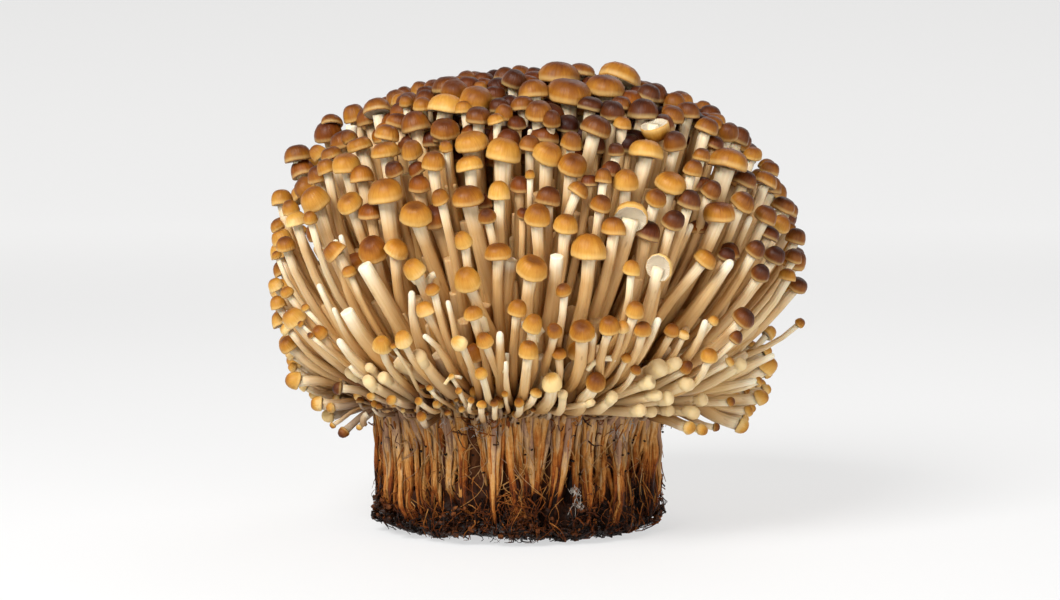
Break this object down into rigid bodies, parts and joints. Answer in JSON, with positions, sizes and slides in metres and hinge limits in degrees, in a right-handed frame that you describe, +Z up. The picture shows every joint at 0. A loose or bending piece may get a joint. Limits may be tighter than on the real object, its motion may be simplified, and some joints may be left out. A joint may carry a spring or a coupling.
{
  "type": "mushroom cluster",
  "caption": "Cluster of enoki mushrooms: slim pale stems and small golden-brown domed caps fanning out in tufts from one matted dark root base.",
  "frame": {"origin": "middle of the flat spot under the root base, on which the cluster stands", "axes": "+Z up, +X to the right as seen from the front, -Y towards the viewer"},
  "size_m": [0.1518, 0.1518, 0.1291],
  "materials": {
    "matted_root": "matted fibres, tan at the neck, wet dark brown below",
    "mushroom_flesh": "cream fibrous stems and smooth golden-ochre caps with a soft sheen"
  },
  "bodies": {
    "root": {"root_base": "matted_root", "middle_tuft": "mushroom_flesh", "tuft_01": "mushroom_flesh", "tuft_02": "mushroom_flesh", "tuft_03": "mushroom_flesh", "tuft_04": "mushroom_flesh", "tuft_05": "mushroom_flesh", "tuft_06": "mushroom_flesh", "tuft_07": "mushroom_flesh", "tuft_08": "mushroom_flesh", "tuft_09": "mushroom_flesh", "tuft_10": "mushroom_flesh", "tuft_11": "mushroom_flesh"}
  },
  "joints": []
}
